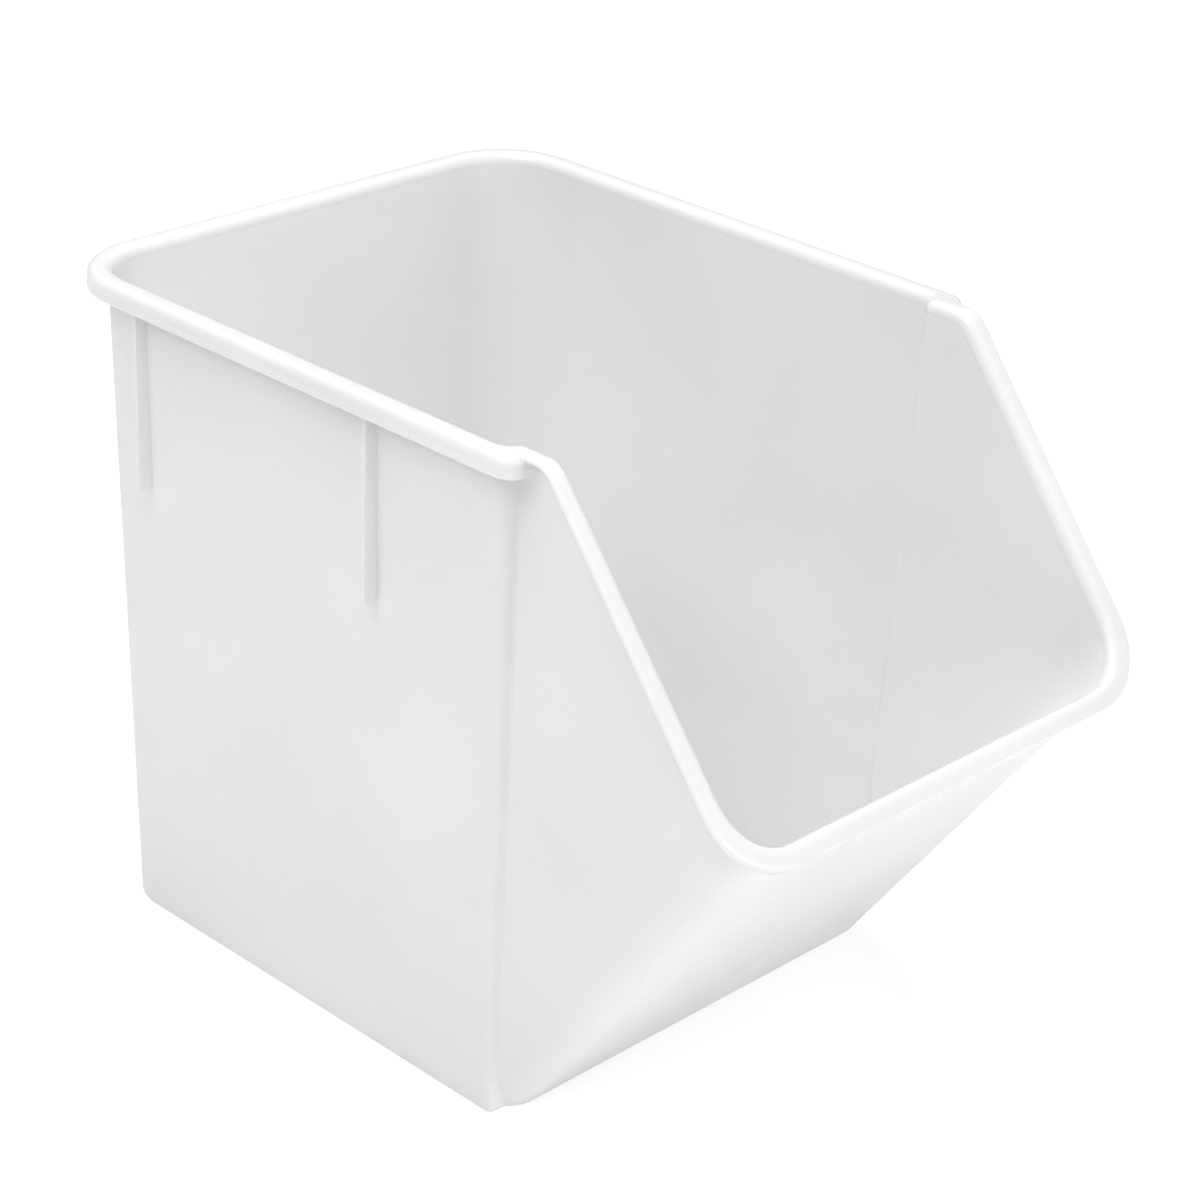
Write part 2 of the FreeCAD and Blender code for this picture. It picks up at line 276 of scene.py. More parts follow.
class Skin:
    """One skin of the bin, outer or inner, as stations round the mouth and their walls.

    foot is the lower point of each wall line, top its upper point, mouth the point where the
    wall would meet the mouth surface, and out the outward normal in that surface."""

    def __init__(self, p, inset, base, drop):
        n = p.small_steps
        arc, small = np.linspace(0, 1, p.arc_steps + 1), np.linspace(0, 1, n + 1)
        self.shares = (held(p.line_steps // 2), arc, held(p.line_steps), small, small)
        level = Plan(p, [p.height], inset)
        x, y, nx, ny = (v[0] for v in level.box_line(self.shares))
        start_y = y[-1]
        top_plan = Plan(p, [p.height - drop], inset)
        tx, ty, _, _ = (v[0] for v in top_plan.box_line(self.shares))
        flat = np.zeros_like(x)
        box_mouth = np.stack([x, y, flat + p.height], -1)
        box_top = np.stack([tx, ty, flat + p.height - drop], -1)
        box_out = np.stack([nx, ny, flat], -1)
        box_up = np.tile([0.0, 0.0, 1.0], (len(x), 1))

        _, _, bend_start, bend_end = mouth_frame(p, 0.0)
        self.cheek_end = self.meet(p, inset, np.array([0.0]))[0][0]
        cheek_shares = self.cheek_shares(p, start_y, bend_start, bend_end)
        cy = start_y + (self.cheek_end[1] - start_y) * cheek_shares
        cy[0] = start_y
        cz, cup, _, _ = mouth_frame(p, cy)
        cx = Plan(p, cz, inset).c
        cheek_mouth = np.stack([cx, cy, cz], -1)
        cheek_out = np.tile([1.0, 0.0, 0.0], (len(cy), 1))
        cheek_top = cheek_mouth - cup * drop
        cheek_top[:, 0] = Plan(p, cheek_top[:, 2], inset).c
        cheek_top[0] = box_top[-1]

        base_plan = Plan(p, [base], inset)
        base_s = base_plan.step()[0][0]
        self.turns_up = np.linspace(0, max(base_s, 0.02), n + 1)
        rest = np.linspace(self.turns_up[-1], QUARTER, p.arc_steps + 1)[1:]
        turns = np.concatenate([self.turns_up[1:], rest])
        crease_mouth, crease_top, crease_out, crease_up = self.crease(p, inset, turns, drop)
        front_shares = held(p.line_steps // 2)[1:]
        last_x = crease_mouth[-1, 0]
        fx = last_x * (1 - front_shares)
        front_mouth = np.tile(crease_mouth[-1], (len(fx), 1))
        front_mouth[:, 0] = fx
        front_top = np.tile(crease_top[-1], (len(fx), 1))
        front_top[:, 0] = fx
        front_out = np.tile(crease_out[-1], (len(fx), 1))
        front_up = np.tile(crease_up[-1], (len(fx), 1))

        rows = self.step_rows(p, inset, base, drop, cheek_mouth)
        self.rows = rows
        plan = Plan(p, rows, inset)
        bx, by, _, _ = plan.box_line(self.shares)
        self.box_grid = np.stack([bx, by, np.tile(rows[:, None], (1, bx.shape[1]))], -1)
        self.box_grid[0] = box_top
        step_line = self.box_grid[:, -1]

        feet = base_plan.hopper(turns[n:])
        crease_feet = np.stack([feet[0], feet[1], np.full(len(turns) - n, base)], -1)
        foot_x = crease_feet[-1, 0] * (1 - front_shares)
        front_feet = np.tile(crease_feet[-1], (len(foot_x), 1))
        front_feet[:, 0] = foot_x
        hopper_feet = np.concatenate([step_line, crease_feet, front_feet])
        hopper_top = np.concatenate([cheek_top, crease_top, front_top])
        t = held(p.line_steps)[:, None, None]
        self.hopper_grid = hopper_feet + (hopper_top - hopper_feet) * (1 - t)

        self.mouth = np.concatenate([box_mouth, cheek_mouth[1:], crease_mouth, front_mouth])
        self.top = np.concatenate([box_top, cheek_top[1:], crease_top, front_top])
        self.out = np.concatenate([box_out, cheek_out[1:], crease_out, front_out])
        self.up = np.concatenate([box_up, cup[1:], crease_up, front_up])
        self.n_box, self.n_cheek = len(box_mouth), len(cheek_mouth) - 1
        self.n_crease = len(crease_mouth)
        self.foot_line(p, inset, base, turns[n:], front_shares)

    def cheek_shares(self, p, start_y, bend_start, bend_end):
        """Shares along y for the cheek's stations, close together round the mouth's bend."""
        end_y = self.cheek_end[1]
        n = p.cheek_steps
        n_level, n_bend = n // 7, n // 4
        n_slope = n - n_level - n_bend
        level_y = start_y + (bend_start - start_y) * held(n_level)
        m = p.mouth_angle * np.linspace(0, 1, n_bend + 1)[1:]
        bend_y = bend_start - p.mouth_bend * np.sin(m)
        slope_y = bend_end + (end_y - bend_end) * held(n_slope)[1:]
        y = np.concatenate([level_y, bend_y, slope_y])
        return (y - start_y) / (end_y - start_y)

    def meet(self, p, inset, s):
        """Where the slanting line s of the hopper meets the mouth's slope, and its direction.
        The line runs A + t (B - A) from the base to the level rim, the slope is
        z = height - (corner - y) tan(m), and t follows from the two."""
        ends = []
        for z in (0.0, p.height):
            x, y, _, _ = Plan(p, [z], inset).hopper(s)
            ends.append(np.stack([x, y, 0 * x + z], -1))
        run = ends[1] - ends[0]
        left = p.height - p.mouth_corner * p.slope - ends[0][:, 2] + p.slope * ends[0][:, 1]
        t = left / (run[:, 2] - p.slope * run[:, 1])
        return ends[0] + run * t[:, None], unit(run)

    def crease(self, p, inset, turns, drop):
        """Mouth points, wall tops and normals round the crease, by the angles given."""
        mouth, ruling = self.meet(p, inset, turns)
        step = 1e-4
        tangent = unit(self.meet(p, inset, turns + step)[0] - self.meet(p, inset, turns - step)[0])
        up = np.tile(p.slope_up, (len(turns), 1))
        out = unit(np.cross(tangent, up))
        away = out[:, 0] * np.cos(turns) - out[:, 1] * np.sin(turns)
        out = np.where(away[:, None] < 0, -out, out)
        top = mouth - ruling * drop
        return mouth, top, out, up

    def step_rows(self, p, inset, base, drop, cheek_mouth):
        """Heights of the rows of the box, top down. They follow the cheek's stations down to
        where the crease begins, then the crease's first angles, and end at the base."""
        z = np.linspace(0, p.height, 801)
        s = Plan(p, z, inset).step()[0]
        top = p.height - drop
        crease_z = np.interp(0.0, -s, z)
        travel = np.concatenate([[0], np.cumsum(np.linalg.norm(np.diff(cheek_mouth, axis=0), axis=1))])
        upper = top + (crease_z - top) * travel / travel[-1]
        lower = np.interp(-self.turns_up[1:], -s, z)
        lower[-1] = base
        return np.concatenate([upper, lower])

    def foot_line(self, p, inset, base, turns, front_shares):
        """Level normals at the stations round the base: box part, crease part, front."""
        plan = Plan(p, [base], inset)
        _, _, nx, ny = (v[0] for v in plan.box_line(self.shares))
        _, _, hnx, hny = plan.hopper(turns)
        one = np.ones_like(front_shares)
        gnx = np.concatenate([nx, hnx, 0 * one])
        gny = np.concatenate([ny, hny, -one])
        self.foot_out = np.stack([gnx, gny, 0 * gnx], -1)


def bottom_patches(p, skin, inset, low, radius):
    """Round along the foot of a skin, then the flat inside it, out to the middle."""
    plan = Plan(p, [low], inset)
    x, y, _, _ = (v[0] for v in plan.box_line(skin.shares))
    hx, hy, _, _ = plan.hopper(np.linspace(skin.turns_up[-1], QUARTER, p.arc_steps + 1)[1:])
    fx = hx[-1] * (1 - held(p.line_steps // 2)[1:])
    corner = np.stack(
        [
            np.concatenate([x, hx, fx]),
            np.concatenate([y, hy, np.full(len(fx), hy[-1])]),
            np.full(len(x) + len(hx) + len(fx), low),
        ],
        -1,
    )
    start = np.concatenate([skin.box_grid[-1], skin.hopper_grid[-1, len(skin.rows) :]])
    end = corner - skin.foot_out * radius
    end[0, 0] = 0
    end[-1, 0] = 0
    around = rounded(start, corner, end, 5)
    centre = np.array([0.0, CENTRE_Y, low])
    inward = np.array([0, 0.006, 0.2, 0.4, 0.6, 0.8, 1.0])[:, None, None]
    flat = end + (centre - end) * inward
    return [around, flat]


def outer_edge(p, skin):
    """Outer edge of the rim at each station: the box's rim round its corner, then the
    hopper's flange down the slope and round to the lip. Returns points, outward normals and
    how deep the skirt hangs there."""
    n_box, n_cheek, n_crease = skin.n_box, skin.n_cheek, skin.n_crease
    mouth, out = skin.mouth, skin.out
    edge = mouth + out * p.rim_overhang
    normal = out.copy()
    steps = len(skin.shares[3]) + len(skin.shares[4]) - 2
    first = n_box - 1 - steps
    cx = p.rim_width / 2 - p.rim_corner
    cy = p.box_front - p.rim_overhang + p.rim_corner
    fx = p.cheek_half + p.flange_reach
    last_turn = np.arccos(np.clip((fx - cx) / p.rim_corner, -1, 1))
    straight = max(steps // 3, 1)
    for i in range(steps + 1):
        k = first + i
        if i <= straight:
            share = i / straight
            edge[k] = [p.rim_width / 2, mouth[first, 1] + (cy - mouth[first, 1]) * share, p.height]
            normal[k] = [1, 0, 0]
        else:
            t = last_turn * (i - straight) / (steps - straight)
            edge[k] = [cx + p.rim_corner * np.cos(t), cy - p.rim_corner * np.sin(t), p.height]
            normal[k] = [np.cos(t), -np.sin(t), 0]
    skirt = np.full(len(mouth), p.wall)
    skirt[:n_box] = p.rim_skirt
    lead_in = np.clip(np.linspace(0, 1.7, n_crease), 0, 1)
    lead_in = lead_in**2 * (3 - 2 * lead_in)
    skirt[n_box + n_cheek : n_box + n_cheek + n_crease] += (p.lip_edge - p.wall) * lead_in
    skirt[n_box + n_cheek + n_crease :] = p.lip_edge
    edge_round = np.full(len(mouth), p.flange_round)
    edge_round[:n_box] = p.rim_round
    y0 = edge[n_box - 1, 1]
    cheek = slice(n_box, n_box + n_cheek)
    lead = np.clip((mouth[cheek, 1] - y0) / (mouth[n_box - 1, 1] - y0), 0, 1)
    y = np.where(lead > 0, y0 - 0.0004 - 0.0001 * np.arange(n_cheek), mouth[cheek, 1])
    z, _, _, _ = mouth_frame(p, y)
    edge[cheek] = np.stack([np.full(n_cheek, fx), y, z], -1)
    down, lip = p.down, p.lip
    r = p.flange_corner
    inner = mouth[n_box + n_cheek : n_box + n_cheek + n_crease]
    along = (inner - inner[-1]) @ down
    along = (along - along[0]) / (along[-1] - along[0])
    turn = np.arcsin(np.clip(along, 0, 1))
    across = np.stack([fx - r + r * np.cos(turn), 0 * turn, 0 * turn], -1)
    crease = slice(n_box + n_cheek, n_box + n_cheek + n_crease)
    edge[crease] = across + lip + down * (-r + r * np.sin(turn))[:, None]
    normal[crease] = np.cos(turn)[:, None] * [1, 0, 0] + np.sin(turn)[:, None] * down
    front = slice(n_box + n_cheek + n_crease, None)
    share = mouth[front, 0] / mouth[n_box + n_cheek + n_crease - 1, 0]
    edge[front] = lip + np.stack([(fx - r) * share, 0 * share, 0 * share], -1)
    normal[front] = down
    return edge, normal, skirt, edge_round


def rim_patch(p, outer, inner):
    """The rim as one strip: up from the outer wall, out under the flange, down and round
    the skirt, up its face, over the crown and down the flare to the inner wall."""
    edge, normal, skirt, edge_round = outer_edge(p, outer)
    up = outer.up
    w = p.wall
    rise = unit(outer.mouth - outer.top)
    reach = np.sum(rise * up, 1, keepdims=True)
    under = outer.mouth - rise * (w / reach)
    under_out = under + outer.out * p.under_round
    deep = skirt[:, None]
    inner_edge = edge - normal * w
    gap = EDGE * np.minimum(1, (deep - w) / EDGE)
    c1 = inner_edge - up * w
    c2 = inner_edge - up * deep
    c3 = edge - up * deep
    c4 = edge
    r4 = edge_round[:, None]
    flare_end = inner.mouth + inner.out * p.flare
    parts = [
        rounded(outer.top, under, under_out, 4),
        np.stack([under_out + (c1 - under_out) * t for t in (0.1, 0.5, 0.9)]),
        rounded(c1 - normal * gap, c1, c1 - up * gap, 2),
        rounded(c2 + up * gap, c2, c2 + normal * EDGE, 2),
        rounded(c3 - normal * EDGE, c3, c3 + up * EDGE, 2),
        np.stack([c3 + up * EDGE + (c4 - up * r4 - c3 - up * EDGE) * t for t in (0.1, 0.9)]),
        rounded(c4 - up * r4, c4, c4 - normal * r4, 6),
        np.stack([c4 - normal * r4 + (flare_end - c4 + normal * r4) * t for t in (0.12, 0.5, 0.88)]),
        rounded(flare_end, inner.mouth, inner.top, 9),
    ]
    return np.concatenate(parts)


def plate(lower, upper, low, high, edge):
    """A closed upright plate between two level outlines, its ends drawn in by a small edge.
    Each end fans from its middle; between the ends P(t) = lower + t (upper - lower)."""
    rings = []
    levels = ((lower, low, edge), (lower, low + edge, 0), (upper, high - edge, 0), (upper, high, edge))
    for outline, z, draw in levels:
        ring = outline + unit(outline.mean(0) - outline) * draw
        rings.append(np.column_stack([ring, np.full(len(ring), z)]))
    ends = [np.tile(ring.mean(0), (len(ring), 1)) for ring in (rings[0], rings[-1])]
    stack = np.stack([ends[0], *rings, ends[1]])
    return np.concatenate([stack, stack[:, :1]], 1)


def box_outline(x0, x1, y0, y1, r, steps=3):
    """Level rectangle with rounded corners, as points."""
    t = np.linspace(0, QUARTER, steps + 1)
    points = []
    corners = ((x1 - r, y1 - r), (x0 + r, y1 - r), (x0 + r, y0 + r), (x1 - r, y0 + r))
    for turn, (cx, cy) in enumerate(corners):
        a = t + turn * QUARTER
        points.append(np.column_stack([cx + r * np.cos(a), cy + r * np.sin(a)]))
    return np.concatenate(points)


def details(p):
    """Ribs under the side rim, and the ends of the skirt that turn in to the cheek."""
    found = []
    low, high = p.height - p.rib_length, p.height - p.wall / 2
    half = p.rib_thickness / 2
    span = p.rim_width / 2 - p.rib_setback
    for y in (p.box_front + p.front_rib, p.rear - p.rear_rib):
        outlines = []
        for z in (low, high):
            root = p.box_half - (p.height - z) * np.tan(p.side_draft) - p.wall / 2
            outlines.append(box_outline(root, span, y - half, y + half, p.rib_edge))
        found.append(plate(*outlines, low, high, RIB_END))
    y = p.box_front - p.rim_overhang
    x1 = p.cheek_half + p.flange_reach
    outline = box_outline(p.cheek_half - p.wall / 2, x1 + 0.0005, y, y + p.wall, 0.0004)
    found.append(plate(outline, outline, p.height - p.rim_skirt, high, 0.0005))
    return found


def weld(patches):
    """Joins grids of points into one mesh: equal points become one, and quads that fold
    onto themselves become triangles or nothing. Returns vertices and faces."""
    points = np.concatenate([g.reshape(-1, 3) for g in patches])
    keys = np.round(points / WELD).astype(np.int64)
    _, first, index = np.unique(keys, axis=0, return_index=True, return_inverse=True)
    index = index.ravel()
    faces = []
    start = 0
    for g in patches:
        rows, cols = g.shape[:2]
        ids = index[start : start + rows * cols].reshape(rows, cols)
        quads = np.stack([ids[:-1, :-1], ids[1:, :-1], ids[1:, 1:], ids[:-1, 1:]], -1).reshape(-1, 4)
        faces.extend(quads.tolist())
        start += rows * cols
    clean = []
    for f in faces:
        kept = [v for i, v in enumerate(f) if v != f[i - 1]]
        if len(set(kept)) == len(kept) and len(kept) > 2:
            clean.append(kept)
    return points[first], clean


def mirrored(patches):
    """The grids and their mirror images across x = 0."""
    return patches + [g * [-1, 1, 1] for g in patches]


def bin_mesh(p):
    """Grids of points of the whole bin: those of the shell, and those of the small plates."""
    inner_round = p.bottom_round + p.wall / 2
    outer = Skin(p, 0.0, p.bottom_round, p.wall + p.under_round)
    inner = Skin(p, p.wall, p.floor + inner_round, p.flare)
    patches = [outer.box_grid, outer.hopper_grid, inner.box_grid, inner.hopper_grid]
    patches += bottom_patches(p, outer, 0.0, 0.0, p.bottom_round)
    patches += bottom_patches(p, inner, p.wall, p.floor, inner_round)
    patches.append(rim_patch(p, outer, inner))
    for g in patches:
        g[np.abs(g[..., 0]) < 1e-6, 0] = 0.0
    return mirrored(patches), mirrored(details(p))


def closed_mesh(name, groups):
    """One mesh from groups of grids, each group closed and turned outward."""
    bm = bmesh.new()
    for patches in groups:
        points, faces = weld(patches)
        made = [bm.verts.new(v) for v in points]
        new_faces = [bm.faces.new([made[i] for i in f]) for f in faces]
        bmesh.ops.recalc_face_normals(bm, faces=new_faces)
    loose = [v for v in bm.verts if not v.link_faces]
    bmesh.ops.delete(bm, geom=loose, context="VERTS")
    require_closed(bm, name)
    mesh = bpy.data.meshes.new(name)
    bm.to_mesh(mesh)
    bm.free()
    return mesh


def require_closed(bm, name):
    """Stops unless each edge of the mesh has two faces."""
    open_edges = sum(1 for e in bm.edges if not e.is_manifold)
    if open_edges:
        raise RuntimeError(f"{name} has {open_edges} open edges")


def fused_object(name, shell, small):
    """One object whose surface is the union of the shell and the small plates on it."""
    obj = bpy.data.objects.new(name, closed_mesh(name, [shell]))
    plates = bpy.data.objects.new("plates", closed_mesh("plates", [[g] for g in small]))
    for made in (obj, plates):
        bpy.context.scene.collection.objects.link(made)
    union = obj.modifiers.new("union", "BOOLEAN")
    union.operation = "UNION"
    union.solver = "MANIFOLD"
    union.object = plates
    graph = bpy.context.evaluated_depsgraph_get()
    mesh = bpy.data.meshes.new_from_object(obj.evaluated_get(graph))
    obj.modifiers.remove(union)
    bm = bmesh.new()
    bm.from_mesh(mesh)
    bmesh.ops.remove_doubles(bm, verts=bm.verts, dist=WELD)
    require_closed(bm, name)
    bm.to_mesh(mesh)
    bm.free()
    mesh.materials.clear()
    mesh.shade_smooth()
    mesh.set_sharp_from_angle(angle=SHARP)
    shell_mesh, obj.data = obj.data, mesh
    bpy.data.meshes.remove(shell_mesh)
    bpy.data.meshes.remove(plates.data)
    mesh.name = name
    return obj


class FinishLook(PropertyGroup):
    """Look of the plastic and of the light round it."""

    tone: FloatVectorProperty(
        name="Tone",
        description="Colour of the plastic",
        subtype="COLOR",
        default=(0.85, 0.85, 0.848),
        min=0,
        max=1,
    )
    roughness: number("Roughness", "Sheen of the moulded face", 0.42)
    rim_roughness: number("Rim roughness", "Sheen of the rims", 0.2)
    glow: length("Glow depth", "How far light spreads in the plastic", 0.003)
    grain: length("Grain", "Height of the moulded grain", 0.00006)
    sink: length("Sink", "Depth of the marks inside the ribs", 0.0004)
    sky: number("Sky", "Strength of the even light", 0.24, 10)
    box_light: number("Soft box", "Power of the overhead light", 30.0, 500)
    side_light: number("Side light", "Power of the side light", 33.0, 500)
    front_light: number("Front light", "Power of the front light", 21.8, 500)
    floor_glow: number("Floor glow", "Light of the lit floor", 0.144, 2)
    floor_lift: number("Floor lift", "Extra paleness of the floor seen directly", 0.3, 2)
    floor_tone: number("Floor tone", "Paleness of the floor", 0.9)


def node(tree, kind, place, inputs=None, **settings):
    """Adds a shader node, sets it and its input values, and returns it."""
    made = tree.nodes.new(kind)
    made.location = (place[0] * 200, place[1] * 200)
    for key, value in settings.items():
        setattr(made, key, value)
    for key, value in (inputs or {}).items():
        made.inputs[key].default_value = value
    return made


def link(tree, source, target, out=0, into=0):
    """Joins an output of one node to an input of another."""
    tree.links.new(source.outputs[out], target.inputs[into])


def maths(tree, place, operation, a, b=None, c=None):
    """A math node whose inputs are numbers or other nodes."""
    made = node(tree, "ShaderNodeMath", place, operation=operation)
    for i, value in enumerate((a, b, c)):
        if value is None:
            continue
        if isinstance(value, (int, float)):
            made.inputs[i].default_value = value
        elif isinstance(value, tuple):
            tree.links.new(value[0].outputs[value[1]], made.inputs[i])
        else:
            link(tree, value, made, 0, i)
    return made


def rib_marks(tree, xyz, p):
    """Height of the sink marks: for each rib a bell exp(-((y - rib) / width)^2) in y, faded
    out below the rib's end and near the rim."""
    total = None
    for k, y in enumerate((p.box_front + p.front_rib, p.rear - p.rear_rib)):
        off = maths(tree, (-6, 3 - k), "SUBTRACT", (xyz, 1), y)
        scaled = maths(tree, (-5, 3 - k), "DIVIDE", off, 0.0042)
        squared = maths(tree, (-4, 3 - k), "MULTIPLY", scaled, scaled)
        negative = maths(tree, (-3, 3 - k), "MULTIPLY", squared, -1.0)
        bell = maths(tree, (-2, 3 - k), "EXPONENT", negative)
        total = bell if total is None else maths(tree, (-1, 3), "ADD", total, bell)
    fade = node(tree, "ShaderNodeMapRange", (-5, 1), interpolation_type="SMOOTHSTEP")
    low = p.height - p.rib_length
    for name, value in (("From Min", low - 0.004), ("From Max", low + 0.006)):
        fade.inputs[name].default_value = value
    tree.links.new(xyz.outputs[2], fade.inputs["Value"])
    top = node(tree, "ShaderNodeMapRange", (-5, 0), interpolation_type="SMOOTHSTEP")
    for name, value in (("From Min", p.height - 0.012), ("From Max", p.height - 0.035)):
        top.inputs[name].default_value = value
    tree.links.new(xyz.outputs[2], top.inputs["Value"])
    gate = maths(tree, (-4, 0), "MULTIPLY", fade, top)
    return maths(tree, (0, 2), "MULTIPLY", total, gate)


def near_mouth(tree, xyz, p):
    """1 on the rims and 0 on the walls, from the depth under the mouth surface, which is
    min(height - z, (lip.z - z) cos m + (y - lip.y) sin m)."""
    sin, cos = np.sin(p.mouth_angle), np.cos(p.mouth_angle)
    level = maths(tree, (-6, 5), "SUBTRACT", p.height, (xyz, 2))
    across = maths(tree, (-6, 6), "MULTIPLY", (xyz, 1), float(sin))
    offset = float(p.lip[2] * cos - p.lip[1] * sin)
    upright = maths(tree, (-6, 7), "MULTIPLY_ADD", (xyz, 2), float(-cos), offset)
    slanted = maths(tree, (-5, 6), "ADD", across, upright)
    depth = maths(tree, (-4, 5), "MINIMUM", level, slanted)
    band = {"From Min": 0.011, "From Max": 0.006}
    mask = node(tree, "ShaderNodeMapRange", (-3, 5), band, interpolation_type="SMOOTHSTEP")
    link(tree, depth, mask)
    return mask


def plastic(p, look):
    """Natural white moulded plastic: satin, light glows a little way through the walls, a
    fine moulded grain, slow waves of the melt, sink marks at the ribs and a few specks."""
    material = bpy.data.materials.new("bin_plastic")
    material.use_nodes = True
    tree = material.node_tree
    tree.nodes.clear()
    place = node(tree, "ShaderNodeTexCoord", (-9, 0))
    xyz = node(tree, "ShaderNodeSeparateXYZ", (-8, 0))
    link(tree, place, xyz, 3)
    grain = node(tree, "ShaderNodeTexNoise", (-7, -1), {"Scale": 900.0, "Detail": 2.0, "Roughness": 0.6})
    flow = node(tree, "ShaderNodeTexNoise", (-7, -2), {"Scale": 7.0, "Detail": 3.0, "Roughness": 0.45})
    wear = node(tree, "ShaderNodeTexNoise", (-7, -3), {"Scale": 38.0, "Detail": 5.0, "Roughness": 0.6})
    specks = node(tree, "ShaderNodeTexVoronoi", (-7, -4), {"Scale": 42.0, "Randomness": 1.0})
    for n in (grain, flow, wear, specks):
        link(tree, place, n, 3)
    tone = node(tree, "ShaderNodeMixRGB", (-3, -2), blend_type="MIX")
    tone.inputs["Color1"].default_value = (*[c * 0.975 for c in look.tone], 1)
    tone.inputs["Color2"].default_value = (*[min(1, c * 1.02) for c in look.tone], 1)
    spread = node(tree, "ShaderNodeMapRange", (-5, -2), {"From Min": 0.3, "From Max": 0.7})
    link(tree, flow, spread)
    link(tree, spread, tone)
    dot = node(
        tree, "ShaderNodeMapRange", (-5, -4), {"From Min": 0.045, "From Max": 0.02, "To Max": 0.35}
    )
    link(tree, specks, dot)
    rare = node(tree, "ShaderNodeMapRange", (-5, -3), {"From Min": 0.62, "From Max": 0.68})
    link(tree, wear, rare)
    speck = maths(tree, (-4, -4), "MULTIPLY", dot, rare)
    dirty = node(tree, "ShaderNodeMixRGB", (-2, -2), blend_type="MIX")
    dirty.inputs["Color2"].default_value = (0.42, 0.38, 0.32, 1)
    link(tree, speck, dirty)
    link(tree, tone, dirty, 0, 1)
    low, high = look.roughness - 0.03, look.roughness + 0.05
    sheen_range = {"From Min": 0.3, "From Max": 0.7, "To Min": low, "To Max": high}
    sheen = node(tree, "ShaderNodeMapRange", (-3, -3), sheen_range)
    link(tree, wear, sheen)
    marks = rib_marks(tree, xyz, p)
    dented = node(tree, "ShaderNodeBump", (1, 1), {"Strength": 1.0, "Distance": look.sink}, invert=True)
    tree.links.new(marks.outputs[0], dented.inputs["Height"])
    waves = node(tree, "ShaderNodeBump", (2, 0), {"Strength": 0.35, "Distance": 0.0012})
    tree.links.new(flow.outputs[0], waves.inputs["Height"])
    tree.links.new(dented.outputs[0], waves.inputs["Normal"])
    fine = node(tree, "ShaderNodeBump", (3, -1), {"Strength": 0.35, "Distance": look.grain})
    tree.links.new(grain.outputs[0], fine.inputs["Height"])
    tree.links.new(waves.outputs[0], fine.inputs["Normal"])
    shader = node(
        tree,
        "ShaderNodeBsdfPrincipled",
        (5, 0),
        {
            "IOR": 1.49,
            "Subsurface Weight": 1.0,
            "Subsurface Radius": (1.0, 0.99, 0.97),
            "Subsurface Scale": look.glow,
        },
    )
    tree.links.new(dirty.outputs[0], shader.inputs["Base Color"])
    rim = near_mouth(tree, xyz, p)
    polished = node(tree, "ShaderNodeMix", (3, -3), {3: look.rim_roughness})
    link(tree, rim, polished)
    link(tree, sheen, polished, 0, 2)
    tree.links.new(polished.outputs[0], shader.inputs["Roughness"])
    tree.links.new(fine.outputs[0], shader.inputs["Normal"])
    end = node(tree, "ShaderNodeOutputMaterial", (7, 0))
    link(tree, shader, end)
    return material


def floor_material(look):
    """Pale matte floor with a faint mottle, so that it isn't one flat colour."""
    material = bpy.data.materials.new("studio_floor")
    material.use_nodes = True
    tree = material.node_tree
    tree.nodes.clear()
    place = node(tree, "ShaderNodeTexCoord", (-4, 0))
    mottle = node(tree, "ShaderNodeTexNoise", (-3, 0), {"Scale": 1.5, "Detail": 2.0})
    link(tree, place, mottle, 3)
    mottled = {"To Min": look.floor_tone - 0.01, "To Max": look.floor_tone + 0.01}
    tone = node(tree, "ShaderNodeMapRange", (-2, 0), mottled)
    link(tree, mottle, tone)
    diffuse = node(tree, "ShaderNodeBsdfDiffuse", (0, 0), {"Roughness": 1.0})
    link(tree, tone, diffuse)
    path = node(tree, "ShaderNodeLightPath", (-2, -1))
    strength = maths(tree, (-1, -1), "MULTIPLY_ADD", path, look.floor_lift, look.floor_glow)
    lift = node(tree, "ShaderNodeEmission", (0, -1), {"Color": (1, 1, 1, 1)})
    link(tree, strength, lift, 0, 1)
    both = node(tree, "ShaderNodeAddShader", (1, 0))
    link(tree, diffuse, both)
    link(tree, lift, both, 0, 1)
    end = node(tree, "ShaderNodeOutputMaterial", (2, 0))
    link(tree, both, end)
    return material


def build_floor(look):
    """A wide level sheet under the bin."""
    half = 9.0
    steps = np.linspace(-half, half, 13)
    x, y = np.meshgrid(steps, steps, indexing="ij")
    grid = np.stack([x, y, 0 * x - 0.0003], -1)
    points, faces = weld([grid])
    mesh = bpy.data.meshes.new("studio_floor")
    mesh.from_pydata(points.tolist(), [], [f[::-1] for f in faces])
    mesh.update()
    if mesh.polygons[0].normal.z < 0:
        mesh.flip_normals()
    obj = bpy.data.objects.new("studio_floor", mesh)
    bpy.context.scene.collection.objects.link(obj)
    obj.data.materials.append(floor_material(look))


def area_light(name, place, target, size, power):
    """A rectangular light turned to its target."""
    data = bpy.data.lights.new(name, "AREA")
    data.shape = "RECTANGLE"
    data.size, data.size_y = size
    data.energy = power
    obj = bpy.data.objects.new(name, data)
    obj.location = place
    obj.rotation_euler = (Vector(target) - Vector(place)).to_track_quat("-Z", "Y").to_euler()
    bpy.context.scene.collection.objects.link(obj)


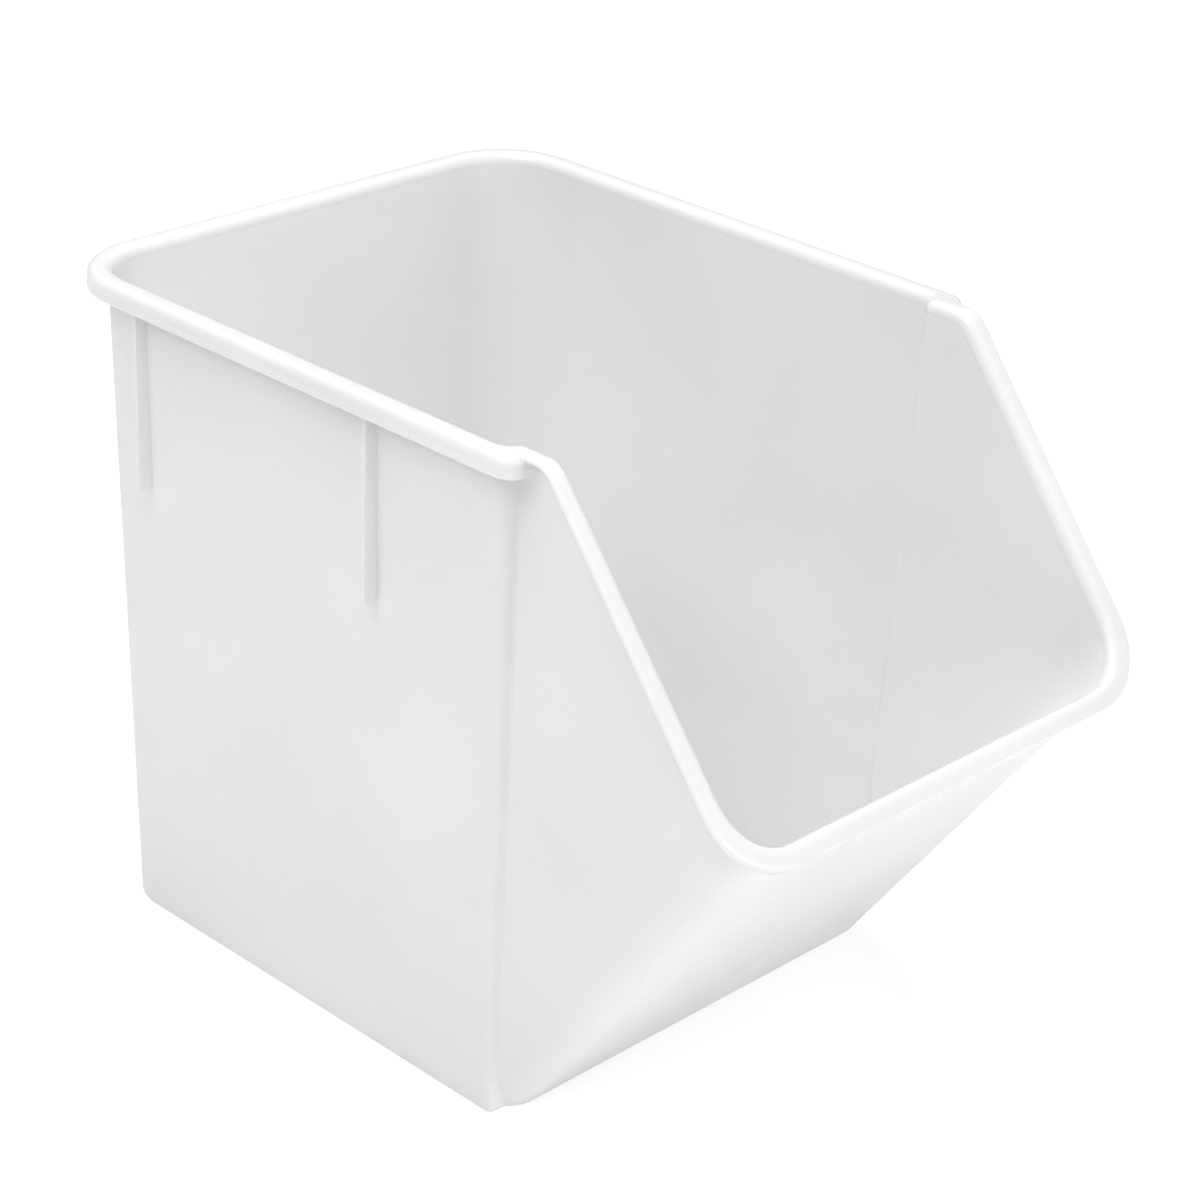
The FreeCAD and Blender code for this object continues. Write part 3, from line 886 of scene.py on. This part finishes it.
def build_world(look):
    """Even white surroundings: full white where the camera looks, softer as light."""
    world = bpy.data.worlds.new("studio")
    bpy.context.scene.world = world
    world.use_nodes = True
    tree = world.node_tree
    tree.nodes.clear()
    path = node(tree, "ShaderNodeLightPath", (-3, 1))
    seen = node(tree, "ShaderNodeBackground", (-1, 0), {"Color": (1, 1, 1, 1), "Strength": 1.0})
    light = node(tree, "ShaderNodeBackground", (-1, -1), {"Color": (1, 1, 1, 1), "Strength": look.sky})
    mix = node(tree, "ShaderNodeMixShader", (1, 0))
    link(tree, path, mix, 0, 0)
    link(tree, light, mix, 0, 1)
    link(tree, seen, mix, 0, 2)
    end = node(tree, "ShaderNodeOutputWorld", (2, 0))
    link(tree, mix, end)


class CameraPlace(PropertyGroup):
    """The camera of the reference view."""

    place: FloatVectorProperty(
        name="Place",
        description="Camera position",
        subtype="TRANSLATION",
        default=(-1.1698, -1.12623, 1.01716),
    )
    azimuth: angle("Azimuth", "Turn round the object, 0 looks along +Y", -46.01)
    elevation: angle("Elevation", "Height angle above the horizon", 25.68)
    roll: angle("Roll", "Lean of the camera about its view", 2.32)
    lens: FloatProperty(name="Lens", description="Focal length in mm on a 36 mm sensor", default=98.15)
    shift: FloatVectorProperty(
        name="Shift", description="Lens shift", size=2, default=(-0.0033, 0.0003)
    )


def build_camera(c):
    """Camera whose axes follow from azimuth a, elevation e and roll r: back is
    (sin a cos e, -cos a cos e, sin e), right is (cos a, sin a, 0) turned by r toward up."""
    a, e, r = c.azimuth, c.elevation, c.roll
    back = Vector((np.sin(a) * np.cos(e), -np.cos(a) * np.cos(e), np.sin(e)))
    level = Vector((np.cos(a), np.sin(a), 0))
    up = back.cross(level)
    right = level * np.cos(r) + up * np.sin(r)
    top = up * np.cos(r) - level * np.sin(r)
    data = bpy.data.cameras.new("camera")
    data.lens = c.lens
    data.sensor_width = 36
    data.shift_x, data.shift_y = c.shift
    data.clip_start, data.clip_end = 0.05, 60
    obj = bpy.data.objects.new("camera", data)
    bpy.context.scene.collection.objects.link(obj)
    axes = Matrix((right, top, back)).transposed().to_4x4()
    obj.matrix_world = Matrix.Translation(c.place) @ axes
    bpy.context.scene.camera = obj


class BIN_OT_body(Operator):
    """Build the moulded bin with its ribs and its plastic"""

    bl_idname = "bin.body"
    bl_label = "Build Bin"

    def execute(self, context):
        scene = context.scene
        p = Form(scene.bin_shape)
        shell, small = bin_mesh(p)
        obj = fused_object("bin_shell", shell, small)
        obj.data.materials.append(plastic(p, scene.bin_look))
        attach(obj, "root")
        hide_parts("bin")
        return {"FINISHED"}


class BIN_OT_stage(Operator):
    """Build the floor, the light and the camera"""

    bl_idname = "bin.stage"
    bl_label = "Build Stage"

    def execute(self, context):
        scene = context.scene
        look = scene.bin_look
        build_floor(look)
        build_world(look)
        area_light("overhead", (0.2, 0.6, 2.4), (0, 0, 0.3), (2.0, 2.0), look.box_light)
        area_light("side", (-1.3, -0.2, 2.3), (0, 0, 0.3), (1.6, 2.0), look.side_light)
        area_light("front", (0.5, -2.4, 0.8), (0, 0, 0.2), (2.0, 1.2), look.front_light)
        build_camera(scene.bin_camera)
        scene.view_settings.view_transform = "Standard"
        return {"FINISHED"}


class BIN_PT_panel(Panel):
    """Bin tools in the 3D view's sidebar"""

    bl_label = "Ingredient Bin"
    bl_idname = "BIN_PT_panel"
    bl_space_type = "VIEW_3D"
    bl_region_type = "UI"
    bl_category = "Bin"

    def draw(self, context):
        layout = self.layout
        layout.operator(BIN_OT_body.bl_idname)
        layout.operator(BIN_OT_stage.bl_idname)
        for owner in (context.scene.bin_shape, context.scene.bin_look, context.scene.bin_camera):
            column = layout.column(align=True)
            for name in type(owner).__annotations__:
                column.prop(owner, name)


CLASSES = (BinShape, FinishLook, CameraPlace, BIN_OT_body, BIN_OT_stage, BIN_PT_panel)


def register():
    for cls in CLASSES:
        bpy.utils.register_class(cls)
    bpy.types.Scene.bin_shape = PointerProperty(type=BinShape)
    bpy.types.Scene.bin_look = PointerProperty(type=FinishLook)
    bpy.types.Scene.bin_camera = PointerProperty(type=CameraPlace)


def unregister():
    del bpy.types.Scene.bin_camera
    del bpy.types.Scene.bin_look
    del bpy.types.Scene.bin_shape
    for cls in reversed(CLASSES):
        bpy.utils.unregister_class(cls)


def main():
    """Builds the bin and its stage."""
    register()
    bpy.ops.bin.body()
    bpy.ops.bin.stage()


if __name__ == "__main__":
    main()
